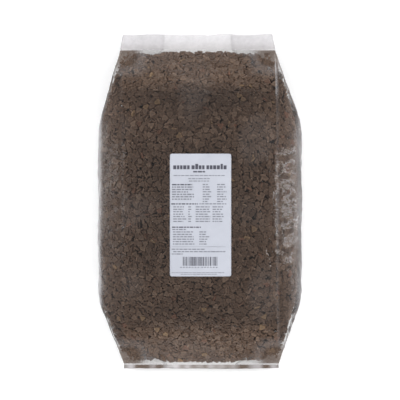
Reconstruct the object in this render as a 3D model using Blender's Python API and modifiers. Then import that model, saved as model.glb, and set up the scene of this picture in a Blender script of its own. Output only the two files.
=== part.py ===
"""A full side-gusset bag of dry cat food: a clear film bag, its kibble and a paper label.

The bag lies on its back. X runs across it, Y along it towards the header above the top weld, and Z up.
The origin is on the surface that it lies on, under the middle of its length and width.
"""

import math

import bmesh
import bpy

# The filled bag
BAG_LENGTH = 0.630  # from the bottom fin's edge to the header's free edge
BELLY_WIDTH = 0.382  # over the bulged gussets
BELLY_DEPTH = 0.155  # from the surface to the crown of the front panel

# The flat tube that it is made from
PANEL_WIDTH = 0.292  # front or back panel, from crease to crease
GUSSET_DEPTH = 0.082  # how far each side folds in when the tube is flat
FILM_THICKNESS = 0.00012
FILM_LAND = 0.00045  # the width of each crease and fold
LAYER_GAP = 0.0006  # between the four film layers in the header and the fin
OUTER_LAYER = 1.5 * LAYER_GAP  # from the middle of the four layers to the outer ones

# The two ends
HEADER_HEIGHT = 0.028  # clear film above the top weld
FIN_HEIGHT = 0.008  # clear film below the bottom weld
TOP_SHOULDER = 0.143  # from the top weld to where the bag has its full width
BOTTOM_SHOULDER = 0.124
WELD_LEVEL = 0.020  # height of both welds over the surface
TOP_RUN = 0.190  # from a weld to where the front panel has its full height
UNDERSIDE_RUN = 0.085  # from a weld to where the back panel lies on the surface
HEADER_LEAN = -0.0045  # the header is welded a little off the middle
FIN_LEAN = 0.0025
OPENING_POWER = 1.3  # how late the gussets swing out along each shoulder
UNPRESSED_SHARE = 0.15  # how far the gussets have opened where their layers have come apart

# The belly's section
CREASE_DRAW = 0.003  # how far the bulge draws each crease in
PANEL_CROWN = 0.034  # how far the front panel's creases lie below its middle
CROWN_POWER = 2.4  # how late the front panel falls away towards its creases
BACK_FLAT_SHARE = 0.7  # how much of the back panel lies flat on the surface
BACK_CREASE_RISE = 0.004
FOLD_LEVEL = 0.068  # height of the gusset's middle fold
UPPER_FULLNESS = 0.50  # how square the gusset's upper and lower halves stand
LOWER_FULLNESS = 0.80

# The kibble
KIBBLE_INSET = 0.0006  # from the film's outer face to the heap

# The label
LABEL_WIDTH = 0.110
LABEL_LENGTH = 0.220
LABEL_THICKNESS = 0.00018
LABEL_CORNER = 0.0035
LABEL_MIDDLE = (0.001, -0.023)
LABEL_GAP = 0.0003

# How finely the surfaces are divided
PANEL_STEPS = 7
GUSSET_STEPS = 7
GUSSET_CROWDING = 1.2  # above 1, the gusset's points stand closer together by its crease
CORNER_STEPS = 4
LABEL_COLUMNS = 12
LABEL_ROWS = 12
NEAR_WELD = (0.002, 0.005, 0.009)  # sections close to each weld, measured from it
TOP_STATIONS = (-HEADER_HEIGHT, 0, *NEAR_WELD, 0.014, 0.020, 0.029, 0.042, 0.056)
TOP_STATIONS += (0.074, 0.094, 0.114, 0.130, 0.148, TOP_RUN)
BOTTOM_STATIONS = (0.170, 0.130, 0.112, 0.094, 0.076, 0.060, 0.046, 0.034, 0.025)
BOTTOM_STATIONS += (0.018, 0.013, *NEAR_WELD[::-1], 0, -FIN_HEIGHT)
BELLY_SPACING = 0.037

TOP_WELD = BAG_LENGTH / 2 - HEADER_HEIGHT
BOTTOM_WELD = -BAG_LENGTH / 2 + FIN_HEIGHT
HEAP_START = 0.018  # the heap begins this far from each weld


def clamp(value):
    return max(0.0, min(1.0, value))


def soft_minimum(value, limit, blend=0.18):
    """The lower of the two, with the corner between them rounded off."""
    overlap = max(blend - abs(value - limit), 0.0) / blend
    return min(value, limit) - overlap * overlap * blend / 4


def smooth_step(value):
    value = clamp(value)
    return value * value * (3 - 2 * value)


def from_weld(y):
    """How far y lies from the nearer weld, towards the belly. It is negative in the header and the fin."""
    return min(TOP_WELD - y, y - BOTTOM_WELD)


def opening(y):
    """0 where the gussets are folded flat, 1 where they are fully unfolded."""
    share = min((TOP_WELD - y) / TOP_SHOULDER, (y - BOTTOM_WELD) / BOTTOM_SHOULDER)
    return clamp(soft_minimum(max(share, 0.0), 1.0))


def middle_of(y):
    lean = HEADER_LEAN if y > 0 else FIN_LEAN
    return lean * (1 - opening(y))


def rise_share(y):
    """0 at a weld, 1 where the front panel has its full height."""
    return math.sin(math.pi / 2 * clamp(from_weld(y) / TOP_RUN))


def panel_level(y):
    """Height of the front panel along the middle of the bag."""
    start = WELD_LEVEL + OUTER_LAYER
    return start + (BELLY_DEPTH - start) * rise_share(y)


def underside_level(y):
    """Height of the back panel along the middle of the bag."""
    lift = 1 - clamp(from_weld(y) / UNDERSIDE_RUN)
    return (WELD_LEVEL - OUTER_LAYER) * lift * lift


def crease_reach(y):
    return PANEL_WIDTH / 2 - CREASE_DRAW * opening(y)


def front_level(x, y):
    """Height of the front panel at any point between its creases."""
    share = abs(x - middle_of(y)) / crease_reach(y)
    return panel_level(y) - PANEL_CROWN * opening(y) * share**CROWN_POWER


def back_level(x, y):
    """Height of the back panel at any point between its creases."""
    share = abs(x - middle_of(y)) / crease_reach(y)
    lifted = clamp((share - BACK_FLAT_SHARE) / (1 - BACK_FLAT_SHARE))
    return underside_level(y) + BACK_CREASE_RISE * opening(y) * lifted**2


def gusset_half(y, crease_level, fullness, down, land):
    """One half of a gusset's section, from its crease to its middle fold.

    Each point is (distance from the bag's middle, height).
    down is 1 for the half that hangs from the front panel's crease, and -1 for the half that rises from the
    back panel's crease.
    """
    open_share = opening(y)
    crease = crease_reach(y)
    lobe = crease + (BELLY_WIDTH / 2 - crease) * open_share**OPENING_POWER
    fold = lobe - GUSSET_DEPTH * (1 - open_share) ** OPENING_POWER
    fold_edge = WELD_LEVEL + (FOLD_LEVEL - WELD_LEVEL) * rise_share(y) + down * land / 2
    unpressed = smooth_step(open_share / UNPRESSED_SHARE)
    pull = lobe + math.sqrt((lobe - crease) * (lobe - fold))
    pull_level = fold_edge + (crease_level - fold_edge) * fullness * unpressed
    out, up = pull - crease, pull_level - crease_level
    reach = math.hypot(out, up)
    start = crease + land * unpressed * out / reach
    start_level = crease_level + land * (unpressed * up / reach - (1 - unpressed) * down)
    half = []
    for step in range(GUSSET_STEPS + 1):
        share = (step / GUSSET_STEPS) ** GUSSET_CROWDING
        near, middle, far = (1 - share) ** 2, 2 * share * (1 - share), share**2
        across = near * start + middle * pull + far * fold
        level = near * start_level + middle * pull_level + far * fold_edge
        half.append((across, level))
    return half


def ring(y, land):
    """The bag's section at y: points in order round the bag, with its creases and folds land wide."""
    middle = middle_of(y)
    places = [crease_reach(y) * i / PANEL_STEPS for i in range(PANEL_STEPS + 1)]
    front = [(x, front_level(middle + x, y)) for x in places]
    back = [(x, back_level(middle + x, y)) for x in places]
    upper = gusset_half(y, front[-1][1], UPPER_FULLNESS, 1, land)
    lower = gusset_half(y, back[-1][1], LOWER_FULLNESS, -1, land)
    right = front + upper + lower[::-1] + back[::-1]
    return [(middle + x, y, z) for x, z in right] + [(middle - x, y, z) for x, z in right[-2:0:-1]]


def stations(start):
    """Places along the bag where it has a section, from the top down, none nearer a weld than start."""
    top = [TOP_WELD - s for s in TOP_STATIONS if s >= start]
    bottom = [BOTTOM_WELD + s for s in BOTTOM_STATIONS if s >= start]
    spans = round((top[-1] - bottom[0]) / BELLY_SPACING)
    belly = [top[-1] + (bottom[0] - top[-1]) * i / spans for i in range(1, spans)]
    return top + belly + bottom


def new_object(name, mesh_maker, collection, material):
    mesh = bpy.data.meshes.new(name)
    build = bmesh.new()
    mesh_maker(build)
    bmesh.ops.recalc_face_normals(build, faces=build.faces)
    build.to_mesh(mesh)
    build.free()
    mesh.shade_smooth()
    piece = bpy.data.objects.new(name, mesh)
    piece.data.materials.append(material)
    collection.objects.link(piece)
    return piece


def loft(build, rings):
    """Pairs of triangles between neighbouring sections, which all have the same number of points.

    Each quarter of the section is split along the opposite diagonal to the next, so that the quarters mirror
    each other and the layers that lie close together never cross. It gives back the first and last loops.
    """
    loops = [[build.verts.new(point) for point in points] for points in rings]
    count = len(rings[0])
    for near, far in zip(loops, loops[1:]):
        for i in range(count):
            following = (i + 1) % count
            quarter = 4 * i // count
            if quarter % 2 == 0:
                build.faces.new((near[i], far[i], far[following]))
                build.faces.new((near[i], far[following], near[following]))
            else:
                build.faces.new((near[i], far[i], near[following]))
                build.faces.new((far[i], far[following], near[following]))
    bmesh.ops.recalc_face_normals(build, faces=build.faces)
    build.normal_update()
    return loops[0], loops[-1]


def finish(name, colour, roughness, alpha=1.0):
    """A plain material with the colour and gloss of one of the bag's pieces."""
    material = bpy.data.materials.new(name)
    material.use_nodes = True
    shader = material.node_tree.nodes["Principled BSDF"]
    shader.inputs["Base Color"].default_value = (*colour, 1.0)
    shader.inputs["Roughness"].default_value = roughness
    shader.inputs["Metallic"].default_value = 0.0
    shader.inputs["Alpha"].default_value = alpha
    return material


def build_film_bag(collection):
    """The gusseted film tube. Its bottom is closed, and its top is pressed flat with a hairline way in."""

    def tube(build):
        _, bottom = loft(build, [ring(y, FILM_LAND) for y in stations(-HEADER_HEIGHT)])
        build.faces.new(bottom)

    bag = new_object("film_bag", tube, collection, finish("clear_film", (0.90, 0.91, 0.92), 0.12, 0.25))
    wall = bag.modifiers.new("film", "SOLIDIFY")
    wall.thickness = FILM_THICKNESS
    wall.offset = -1.0
    return bag


def build_kibble_heap(collection):
    """The kibble, as one solid of the shape that it fills inside the film, with a flat face at each end."""

    def heap(build):
        top, bottom = loft(build, [ring(y, FILM_LAND) for y in stations(HEAP_START)])
        for vertex in build.verts:
            vertex.co -= vertex.normal * KIBBLE_INSET
        for loop, nearest_belly in ((top, min), (bottom, max)):
            level = nearest_belly(vertex.co.y for vertex in loop)
            for vertex in loop:
                vertex.co.y = level
            build.faces.new(loop)

    return new_object("kibble_heap", heap, collection, finish("kibble_brown", (0.105, 0.068, 0.045), 0.75))


def label_rows():
    """(distance along the label from its middle, half its width there), with the corners' arcs followed."""
    straight = LABEL_LENGTH / 2 - LABEL_CORNER
    arc = [math.pi / 2 * i / CORNER_STEPS for i in range(CORNER_STEPS + 1)]
    corner = [
        (straight + LABEL_CORNER * math.sin(a), LABEL_WIDTH / 2 - LABEL_CORNER * (1 - math.cos(a)))
        for a in arc
    ]
    body = [
        (-straight + 2 * straight * i / LABEL_ROWS, LABEL_WIDTH / 2)
        for i in range(1, LABEL_ROWS)
    ]
    return [(-v, width) for v, width in corner[::-1]] + body + corner


def build_label(collection):
    """The paper label, stuck on the front panel and curved with it."""

    def sheet(build):
        middle_x, middle_y = LABEL_MIDDLE
        rows = []
        for v, half_width in label_rows():
            y = middle_y + v
            places = [middle_x + half_width * (2 * i / LABEL_COLUMNS - 1) for i in range(LABEL_COLUMNS + 1)]
            rows.append([build.verts.new((x, y, front_level(x, y) + LABEL_GAP)) for x in places])
        for low, high in zip(rows, rows[1:]):
            for i in range(LABEL_COLUMNS):
                build.faces.new((low[i], low[i + 1], high[i + 1], high[i]))

    label_paper = finish("label_paper", (0.60, 0.63, 0.70), 0.55)
    label = new_object("label", sheet, collection, label_paper)
    paper = label.modifiers.new("paper", "SOLIDIFY")
    paper.thickness = LABEL_THICKNESS
    paper.offset = 1.0
    return label


def main():
    for old in list(bpy.data.objects):
        bpy.data.objects.remove(old)
    collection = bpy.data.collections.new("cat_food_bag")
    bpy.context.scene.collection.children.link(collection)
    build_film_bag(collection)
    build_kibble_heap(collection)
    build_label(collection)


main()
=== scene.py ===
"""A full side-gusset bag of dry cat food: its clear film, its loose kibble and its paper label.

The bag lies on its back: X runs across it, Y along it towards the clear header, and Z up.
Lengths are in metres.
"""

import math

import bmesh
import bpy
import numpy as np
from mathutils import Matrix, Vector
from mathutils.bvhtree import BVHTree


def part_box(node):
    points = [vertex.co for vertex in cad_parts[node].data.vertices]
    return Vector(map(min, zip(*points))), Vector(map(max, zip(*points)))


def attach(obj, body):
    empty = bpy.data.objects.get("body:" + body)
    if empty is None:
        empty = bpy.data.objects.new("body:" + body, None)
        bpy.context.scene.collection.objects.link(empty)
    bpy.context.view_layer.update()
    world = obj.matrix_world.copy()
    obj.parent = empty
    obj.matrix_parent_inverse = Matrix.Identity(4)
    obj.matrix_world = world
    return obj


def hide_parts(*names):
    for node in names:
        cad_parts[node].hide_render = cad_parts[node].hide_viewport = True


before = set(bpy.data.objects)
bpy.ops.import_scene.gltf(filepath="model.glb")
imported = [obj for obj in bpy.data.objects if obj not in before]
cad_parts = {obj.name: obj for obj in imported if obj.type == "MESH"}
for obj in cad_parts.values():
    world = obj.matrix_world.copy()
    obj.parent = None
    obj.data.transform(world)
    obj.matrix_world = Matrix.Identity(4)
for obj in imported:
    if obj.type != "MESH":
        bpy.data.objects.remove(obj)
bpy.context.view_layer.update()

BAG_LOW, BAG_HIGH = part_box("film_bag")
LABEL_LOW, LABEL_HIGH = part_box("label")

# ---- The bag's shape, as the frame has it ----
HEADER_HEIGHT = 0.028
FIN_HEIGHT = 0.008
TOP_WELD = BAG_HIGH[1] - HEADER_HEIGHT
BOTTOM_WELD = BAG_LOW[1] + FIN_HEIGHT
HALF_WIDTH = (BAG_HIGH[0] - BAG_LOW[0]) / 2
BELLY_DEPTH = BAG_HIGH[2]
PANEL_REACH = 0.146
GUSSET_DEPTH = 0.082
TOP_SHOULDER = 0.143
BOTTOM_SHOULDER = 0.124
WELD_LEVEL = 0.020
TOP_RUN = 0.190
UNDERSIDE_RUN = 0.085
HEADER_LEAN = -0.0045
FIN_LEAN = 0.0025
PANEL_CROWN = 0.034
BACK_CREASE_RISE = 0.004
FOLD_LEVEL = 0.068
UPPER_FULLNESS = 0.50
LOWER_FULLNESS = 0.80
UNPRESSED_SHARE = 0.15
LAYER_GAP = 0.0003
OUTER_LAYER = 1.5 * LAYER_GAP  # from the middle of the welds to a panel
CREASE_DRAW = 0.003  # how far the filling draws the creases inwards
CROWN_POWER = 2.4
BACK_FLAT, BACK_ROUND = 0.7, 0.3  # how much of the back's half width lies flat, and how much curls up
GUSSET_CROWDING = 1.3

# ---- How finely the film is divided ----
FRONT_STEPS = 92
BACK_STEPS = 52
GUSSET_STEPS = 17
END_SPACING = 0.0021
BELLY_SPACING = 0.0036
END_REACH = 0.05

# ---- The kibble ----
KIBBLE_SIDE = 0.0130
KIBBLE_THICKNESS = 0.0044
KIBBLE_SPACING = 0.0091  # how far apart the pieces start
DRAWN_SIZE = 0.93  # a little smaller than the room each takes, so that dark gaps show between them
KIBBLE_DEPTH = 0.020  # how far in from the film the loose pieces start
CORE_DEPTH = 0.016
SETTLE_STEPS = 130
REST_STEPS = 45
TURN_SHARE = 0.25  # how readily the pieces turn while they are drawn to the film
PULL = 0.00017  # how far a step draws the pieces towards the film
WELD_PULL_SHARE = 0.7  # how much of that also draws them to the nearer weld
WELD_PULL_REACH = 0.06
PAIRS_HOLD = 8  # for how many steps the same pairs are watched
LONGEST_PUSH = 0.002
LONGEST_SHIFT = 0.0012
PART_SHARE = 0.42  # how much of an overlap each of two pieces gives way
SCATTER = 0.42  # how unevenly the pieces start, as a share of their spacing
CRUMB_TRIES = 90000
SHAPES = 6
LEAST_GAP = 0.0008  # a piece whose middle is closer to the film than this is left out
END_SHARE_REACH = 0.060
CORE_ENDS = (0.055, 0.060)  # how far the dark core keeps from the bottom weld and the top weld
CORE_BLUNTNESS = 0.55
FILM_CLEARANCE = 0.0004
LEFT_SLACK = 0.0030  # how far the film stands clear of the kibble along each side
RIGHT_SLACK = 0.0080


def smooth(value):
    value = np.clip(value, 0.0, 1.0)
    return value * value * (3 - 2 * value)


def soft_minimum(value, limit, blend=0.18):
    overlap = np.maximum(blend - np.abs(value - limit), 0.0) / blend
    return np.minimum(value, limit) - overlap * overlap * blend / 4


def from_weld(y):
    """How far y lies from the nearer weld, towards the belly. It is negative in the header and the fin."""
    return np.minimum(TOP_WELD - y, y - BOTTOM_WELD)


def opening(y):
    """0 where the gussets are folded flat, 1 where they are fully unfolded."""
    share = np.minimum((TOP_WELD - y) / TOP_SHOULDER, (y - BOTTOM_WELD) / BOTTOM_SHOULDER)
    return np.clip(soft_minimum(np.maximum(share, 0.0), 1.0), 0.0, 1.0)


def middle_of(y):
    return np.where(y > 0, HEADER_LEAN, FIN_LEAN) * (1 - opening(y))


def rise_share(y):
    """0 at the welds, 1 over the belly."""
    return np.sin(np.pi / 2 * np.clip(from_weld(y) / TOP_RUN, 0, 1))


def panel_level(y):
    start = WELD_LEVEL + OUTER_LAYER
    return start + (BELLY_DEPTH - start) * rise_share(y)


def underside_level(y):
    lift = 1 - np.clip(from_weld(y) / UNDERSIDE_RUN, 0, 1)
    return (WELD_LEVEL - OUTER_LAYER) * lift * lift


def crease_reach(y):
    return PANEL_REACH - CREASE_DRAW * opening(y)


def front_level(x, y):
    """Height of the front panel at any point between its creases."""
    share = np.abs(x - middle_of(y)) / crease_reach(y)
    return panel_level(y) - PANEL_CROWN * opening(y) * share**CROWN_POWER


def back_level(x, y):
    share = np.abs(x - middle_of(y)) / crease_reach(y)
    curl = np.clip((share - BACK_FLAT) / BACK_ROUND, 0, 1) ** 2
    return underside_level(y) + BACK_CREASE_RISE * opening(y) * curl


def gusset_half(y, crease_level, fullness, down, shares):
    """One half of a gusset's section, from its crease to its middle fold."""
    open_share = opening(y)
    crease = crease_reach(y)
    lobe = crease + (HALF_WIDTH - crease) * open_share
    fold = lobe - GUSSET_DEPTH * (1 - open_share) ** GUSSET_CROWDING
    fold_edge = WELD_LEVEL + (FOLD_LEVEL - WELD_LEVEL) * rise_share(y) + down * LAYER_GAP / 2
    unpressed = smooth(open_share / UNPRESSED_SHARE)
    pull = lobe + np.sqrt((lobe - crease) * (lobe - fold))
    pull_level = fold_edge + (crease_level - fold_edge) * fullness * unpressed
    near, middle, far = (1 - shares) ** 2, 2 * shares * (1 - shares), shares**2
    across = near * crease + middle * pull + far * fold
    level = near * crease_level + middle * pull_level + far * fold_edge
    return across, level


def bag_ring(y, front_steps, gusset_steps, back_steps):
    """The bag's section at y, from the left front crease over the front panel and round to where it began."""
    middle = middle_of(y)
    reach = crease_reach(y)
    even = np.linspace(-1, 1, front_steps + 1)
    front = reach * (0.55 * even + 0.45 * np.sin(np.pi / 2 * even))  # closer together by the creases
    back = np.linspace(reach, -reach, back_steps + 1)[1:]
    down_shares = np.linspace(0, 1, gusset_steps + 1)[1:]
    up_shares = np.linspace(1, 0, gusset_steps + 1)[1:]
    front_edge = front_level(middle + reach, y)
    back_edge = back_level(middle + reach, y)
    upper_x, upper_z = gusset_half(y, front_edge, UPPER_FULLNESS, 1, down_shares)
    lower_x, lower_z = gusset_half(y, back_edge, LOWER_FULLNESS, -1, up_shares)
    across = np.concatenate([front, upper_x, lower_x, back, -lower_x[-2::-1], -upper_x[::-1]])
    front_z, back_z = front_level(middle + front, y), back_level(middle + back, y)
    level = np.concatenate([front_z, upper_z, lower_z, back_z, lower_z[-2::-1], upper_z[::-1]])
    return np.stack([middle + across, np.full(len(across), float(y)), level], axis=1)


def bag_stations(end_spacing, belly_spacing):
    """Places along the bag where it has a section: close together by the ends, further apart in the belly."""
    places = [BAG_LOW[1]]
    while places[-1] < BAG_HIGH[1] - end_spacing:
        y = places[-1]
        near_end = 1 - smooth((from_weld(y) - END_REACH) / END_REACH)
        places.append(y + belly_spacing + (end_spacing - belly_spacing) * float(near_end))
    places = np.array(places + [BAG_HIGH[1]])
    for weld in (BOTTOM_WELD, TOP_WELD):
        places[np.argmin(np.abs(places - weld))] = weld
    return places


def grid_faces(rows, columns):
    """Quads of a grid whose rows close round on themselves, all facing out."""
    row, column = np.meshgrid(np.arange(rows - 1), np.arange(columns), indexing="ij")
    here = row * columns + column
    beside = row * columns + (column + 1) % columns
    return np.stack([here, here + columns, beside + columns, beside], axis=-1).reshape(-1, 4)


def new_mesh_object(name, points, faces):
    mesh = bpy.data.meshes.new(name)
    mesh.from_pydata([tuple(p) for p in points], [], [tuple(int(i) for i in f) for f in faces])
    mesh.update()
    piece = bpy.data.objects.new(name, mesh)
    bpy.context.scene.collection.objects.link(piece)
    return piece


def ripple(rng, x, y, wave_x, wave_y, terms=18):
    """A smooth random field of about -1 to 1, with bumps about wave_x by wave_y across."""
    total = np.zeros(np.broadcast(x, y).shape)
    for _ in range(terms):
        angle, phase, stretch = rng.uniform(0, 2 * np.pi), rng.uniform(0, 2 * np.pi), rng.uniform(0.6, 1.5)
        total = total + np.sin(
            np.pi * stretch * (math.cos(angle) * x / wave_x + math.sin(angle) * y / wave_y) + phase
        )
    return total / math.sqrt(terms)


# ---- The film ----

DIMPLE_HEIGHT = 0.00035
PUCKER_HEIGHT = 0.0009
PUCKER_REACH = 0.020  # how far the gathers at the welds run into the bag
FILLED_REACH = 0.012
GUSSET_FOLD_HEIGHT = 0.0011
GUSSET_BULGE_HEIGHT = 0.0008
CREASE_RIDGE = 0.0005
PRESSED = 0.0002  # how far the film under the bag is pressed in
HEADER_WAVE = 0.0022
HEADER_RIPPLE = 0.0006
HEADER_DROOP = 0.0035
HEADER_NARROWING = 0.030
FIN_WAVE = 0.0016
FIN_DROOP = 0.002
RIGHT_HAZE = 0.56
LEFT_HAZE = 1.8
LOOSE_HAZE = 2.2
CORNER_HAZE = 2.0
DULLING = 0.72  # how much less the steep film by the welds mirrors
# Painted highlights as milky strands beside the right front crease: its column, how far below the weld it
# runs, and its strength.
HIGHLIGHT_STRANDS = ((0, -0.002, 0.10, 0.9), (2, 0.0, 0.06, 0.8), (5, 0.006, 0.11, 0.5))


def film_columns():
    """For each column of the film's grid: how much it is on the front, in a gusset and on a front crease."""
    total = FRONT_STEPS + BACK_STEPS + 4 * GUSSET_STEPS
    index = np.arange(total)
    on_front = (index <= FRONT_STEPS).astype(float)
    gusset_share = np.zeros(total)
    right = (index > FRONT_STEPS) & (index <= FRONT_STEPS + 2 * GUSSET_STEPS)
    gusset_share[right] = (index[right] - FRONT_STEPS) / (2 * GUSSET_STEPS)
    left = index > FRONT_STEPS + 2 * GUSSET_STEPS + BACK_STEPS
    gusset_share[left] = (total - index[left]) / (2 * GUSSET_STEPS)
    in_gusset = np.sin(np.pi * gusset_share) ** 0.7
    on_crease = np.zeros(total)
    on_crease[[0, FRONT_STEPS]] = 1.0
    return on_front, in_gusset, on_crease


def film_surface():
    """The film's grid of points with its wrinkles, and at each point its haze, how dusty it is with painted
    shade added, and its shine.
    """
    rng = np.random.default_rng(11)
    places = bag_stations(END_SPACING, BELLY_SPACING)
    base = np.stack([bag_ring(y, FRONT_STEPS, GUSSET_STEPS, BACK_STEPS) for y in places])
    step = np.linalg.norm(np.diff(base, axis=1, append=base[:, :1]), axis=2)
    girth = np.cumsum(step, axis=1)
    x, y = base[:, :, 0], places[:, None]
    surface = wrinkled(rng, base, girth, y)
    droop_ends(rng, surface, x, y)
    surface[:, :, 2] = np.maximum(surface[:, :, 2], 0.0)
    return surface, *film_looks(rng, x, girth, y)


def wrinkled(rng, base, girth, y):
    """The film's points after its dimples over the kibble, its gathers at the welds and its gusset folds."""
    along = np.gradient(base, axis=0)
    around = (np.roll(base, -1, axis=1) - np.roll(base, 1, axis=1)) / 2
    normal = np.cross(along, around)
    normal /= np.maximum(np.linalg.norm(normal, axis=2, keepdims=True), 1e-9)
    on_front, in_gusset, on_crease = film_columns()
    inside = from_weld(y)
    filled = smooth(inside / FILLED_REACH)
    near_weld = np.exp(-np.maximum(inside, 0) / PUCKER_REACH) * smooth(inside / 0.003)
    dimples = DIMPLE_HEIGHT * ripple(rng, girth, y, 0.011, 0.011, 40) * filled
    folds = ripple(rng, girth, y, 0.006, 0.060, 30)
    puckers = PUCKER_HEIGHT * near_weld * (1 - np.abs(folds)).clip(-0.6, 1) * (0.5 + on_front)
    long_folds = 1 - np.abs(ripple(rng, girth, y, 0.016, 0.085, 26))
    bulges = GUSSET_BULGE_HEIGHT * ripple(rng, girth, y, 0.030, 0.050, 20)
    gusset = in_gusset * filled * (GUSSET_FOLD_HEIGHT * np.maximum(long_folds, 0) ** 2 + bulges)
    ridge = CREASE_RIDGE * on_crease * smooth(inside / 0.02)
    offset = dimples + puckers + gusset + ridge
    offset = np.where(inside < 0, 0.0, offset)
    under = smooth((0.004 - base[:, :, 2]) / 0.003) * smooth((normal[:, :, 2] * -1 - 0.7) / 0.2)
    offset = offset * (1 - under) - PRESSED * under
    return base + normal * offset[:, :, None]


def droop_ends(rng, surface, x, y):
    """Waves and lowers the header and the fin, which hang free past the welds."""
    outside = np.maximum(-from_weld(y), 0)
    header = (y > 0) * smooth(outside / HEADER_HEIGHT)
    wave = HEADER_WAVE * ripple(rng, x, y * 0 + 0.3, 0.055, 1.0, 9)
    wave = wave + HEADER_RIPPLE * ripple(rng, x, y, 0.018, 0.03, 12)
    surface[:, :, 2] += header * wave - HEADER_DROOP * header
    surface[:, :, 0] -= HEADER_NARROWING * header * (x - HEADER_LEAN)
    surface[:, :, 1] += header * 0.0010 * ripple(rng, x, y * 0, 0.030, 1.0, 9)
    fin = (y < 0) * smooth(outside / FIN_HEIGHT)
    surface[:, :, 2] += fin * (FIN_WAVE * ripple(rng, x, y * 0 + 0.1, 0.016, 1.0, 14) - FIN_DROOP)
    surface[:, :, 1] += fin * 0.0007 * ripple(rng, x, y * 0, 0.014, 1.0, 12)


def film_looks(rng, x, girth, y):
    """How hazy, how dusty and how shiny the film is at each point, with painted shade in the dusty tint and
    painted highlights in the haze.
    """
    on_front, in_gusset, on_crease = film_columns()
    inside = from_weld(y)
    filled = smooth(inside / FILLED_REACH)
    corner_x = np.abs(x - middle_of(y)) / PANEL_REACH
    top_haze = 0.35 * smooth(1 - (TOP_WELD - y) / 0.075) * smooth((corner_x - 0.55) / 0.5) * on_front
    weld_haze = 0.5 * np.exp(-np.maximum(inside, 0) / 0.0040)
    streaks = 0.75 + 0.4 * ripple(rng, girth, y, 0.02, 0.07, 14)
    right_side = RIGHT_HAZE * smooth((x - 0.158) / 0.028) * streaks
    left_side = LEFT_HAZE * smooth((-x - 0.1815) / 0.007)
    side_haze = (0.15 + right_side + left_side) * in_gusset
    patches = 0.09 * smooth(ripple(rng, girth, y, 0.075, 0.090, 16) - 0.2) * on_front
    loose = np.where(inside < 0, 1.0, 0.0) * LOOSE_HAZE
    # painted highlight: a milky line along each front crease, strong on the right crease and faint on the
    # left
    seen = 0.45 + 0.8 * smooth(ripple(rng, x * 0, y, 1.0, 0.075, 9) + 0.2)
    line = 0.5 * on_crease * (0.6 + 0.4 * np.sign(x)) * filled * seen
    # painted highlights: milky strands down from the top weld
    strands = painted_highlight_strands(x, y)
    corner = smooth((corner_x - 0.62) / 0.3) * smooth(1 - (inside - 0.012) / 0.045) * (inside > 0)
    haze = top_haze * (y > 0) + weld_haze + side_haze + patches + loose + line + strands
    haze = haze + CORNER_HAZE * corner
    soiled = (y < 0) * (inside < 0) * (0.64 + 0.3 * ripple(rng, x, y * 0, 0.014, 1.0, 12))
    # painted shade: the header is darkened, in a brown tint, just above the top weld
    shaded = 0.20 * (y > 0) * (inside < 0) * smooth(1 - np.maximum(-inside, 0) / 0.018)
    # Brown at the top corners, in the fin and, as painted shade, in the header; taken away along the painted
    # highlight strands
    dust_and_shade = np.clip(1.6 * corner - strands + soiled + shaded, 0, 1)
    dull = smooth((0.090 - inside) / 0.035) * on_front + smooth((0.030 - inside) / 0.012) * (1 - on_front)
    return np.clip(haze, 0, 3), dust_and_shade, 1 - DULLING * dull


def painted_highlight_strands(x, y):
    # painted highlights: milky strands that run down from the top weld beside the right crease
    index = np.arange(x.shape[1])
    strands = np.zeros(x.shape)
    for column, start, stop, strength in HIGHLIGHT_STRANDS:
        chosen = index == FRONT_STEPS + column
        along_it = smooth((TOP_WELD - y - start) / 0.006) * smooth((stop - (TOP_WELD - y)) / 0.03)
        strands = strands + strength * chosen * along_it
    return strands


def build_film(surface, haze, dust_and_shade, shine, material):
    """The film as one closed skin: the gusseted tube with its header and its bottom fin."""
    rows, columns = surface.shape[:2]
    faces = [tuple(f) for f in grid_faces(rows, columns)]
    film = new_mesh_object("clear_film", surface.reshape(-1, 3), faces)
    close_ends(film)
    for name, values in (("haze", haze), ("dust_and_shade", dust_and_shade), ("shine", shine)):
        store(film.data, name, values)
    film.data.materials.append(material)
    film.data.shade_smooth()
    return film


def close_ends(piece):
    """Caps the two open ends of a tube's mesh and turns all its faces outwards."""
    build = bmesh.new()
    build.from_mesh(piece.data)
    edges = [e for e in build.edges if e.is_boundary]
    caps = bmesh.ops.holes_fill(build, edges=edges, sides=0)["faces"]
    bmesh.ops.triangulate(build, faces=caps)
    bmesh.ops.recalc_face_normals(build, faces=build.faces)
    build.to_mesh(piece.data)
    build.free()


def store(mesh, name, values, kind="FLOAT"):
    """Stores a value of its own for each point of a mesh."""
    attribute = mesh.attributes.new(name, kind, "POINT")
    field = "vector" if kind == "FLOAT_VECTOR" else "value"
    number = np.int32 if kind == "INT" else np.float32
    attribute.data.foreach_set(field, np.asarray(values).astype(number).reshape(-1))


# ---- How the kibble settles against the film ----


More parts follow.
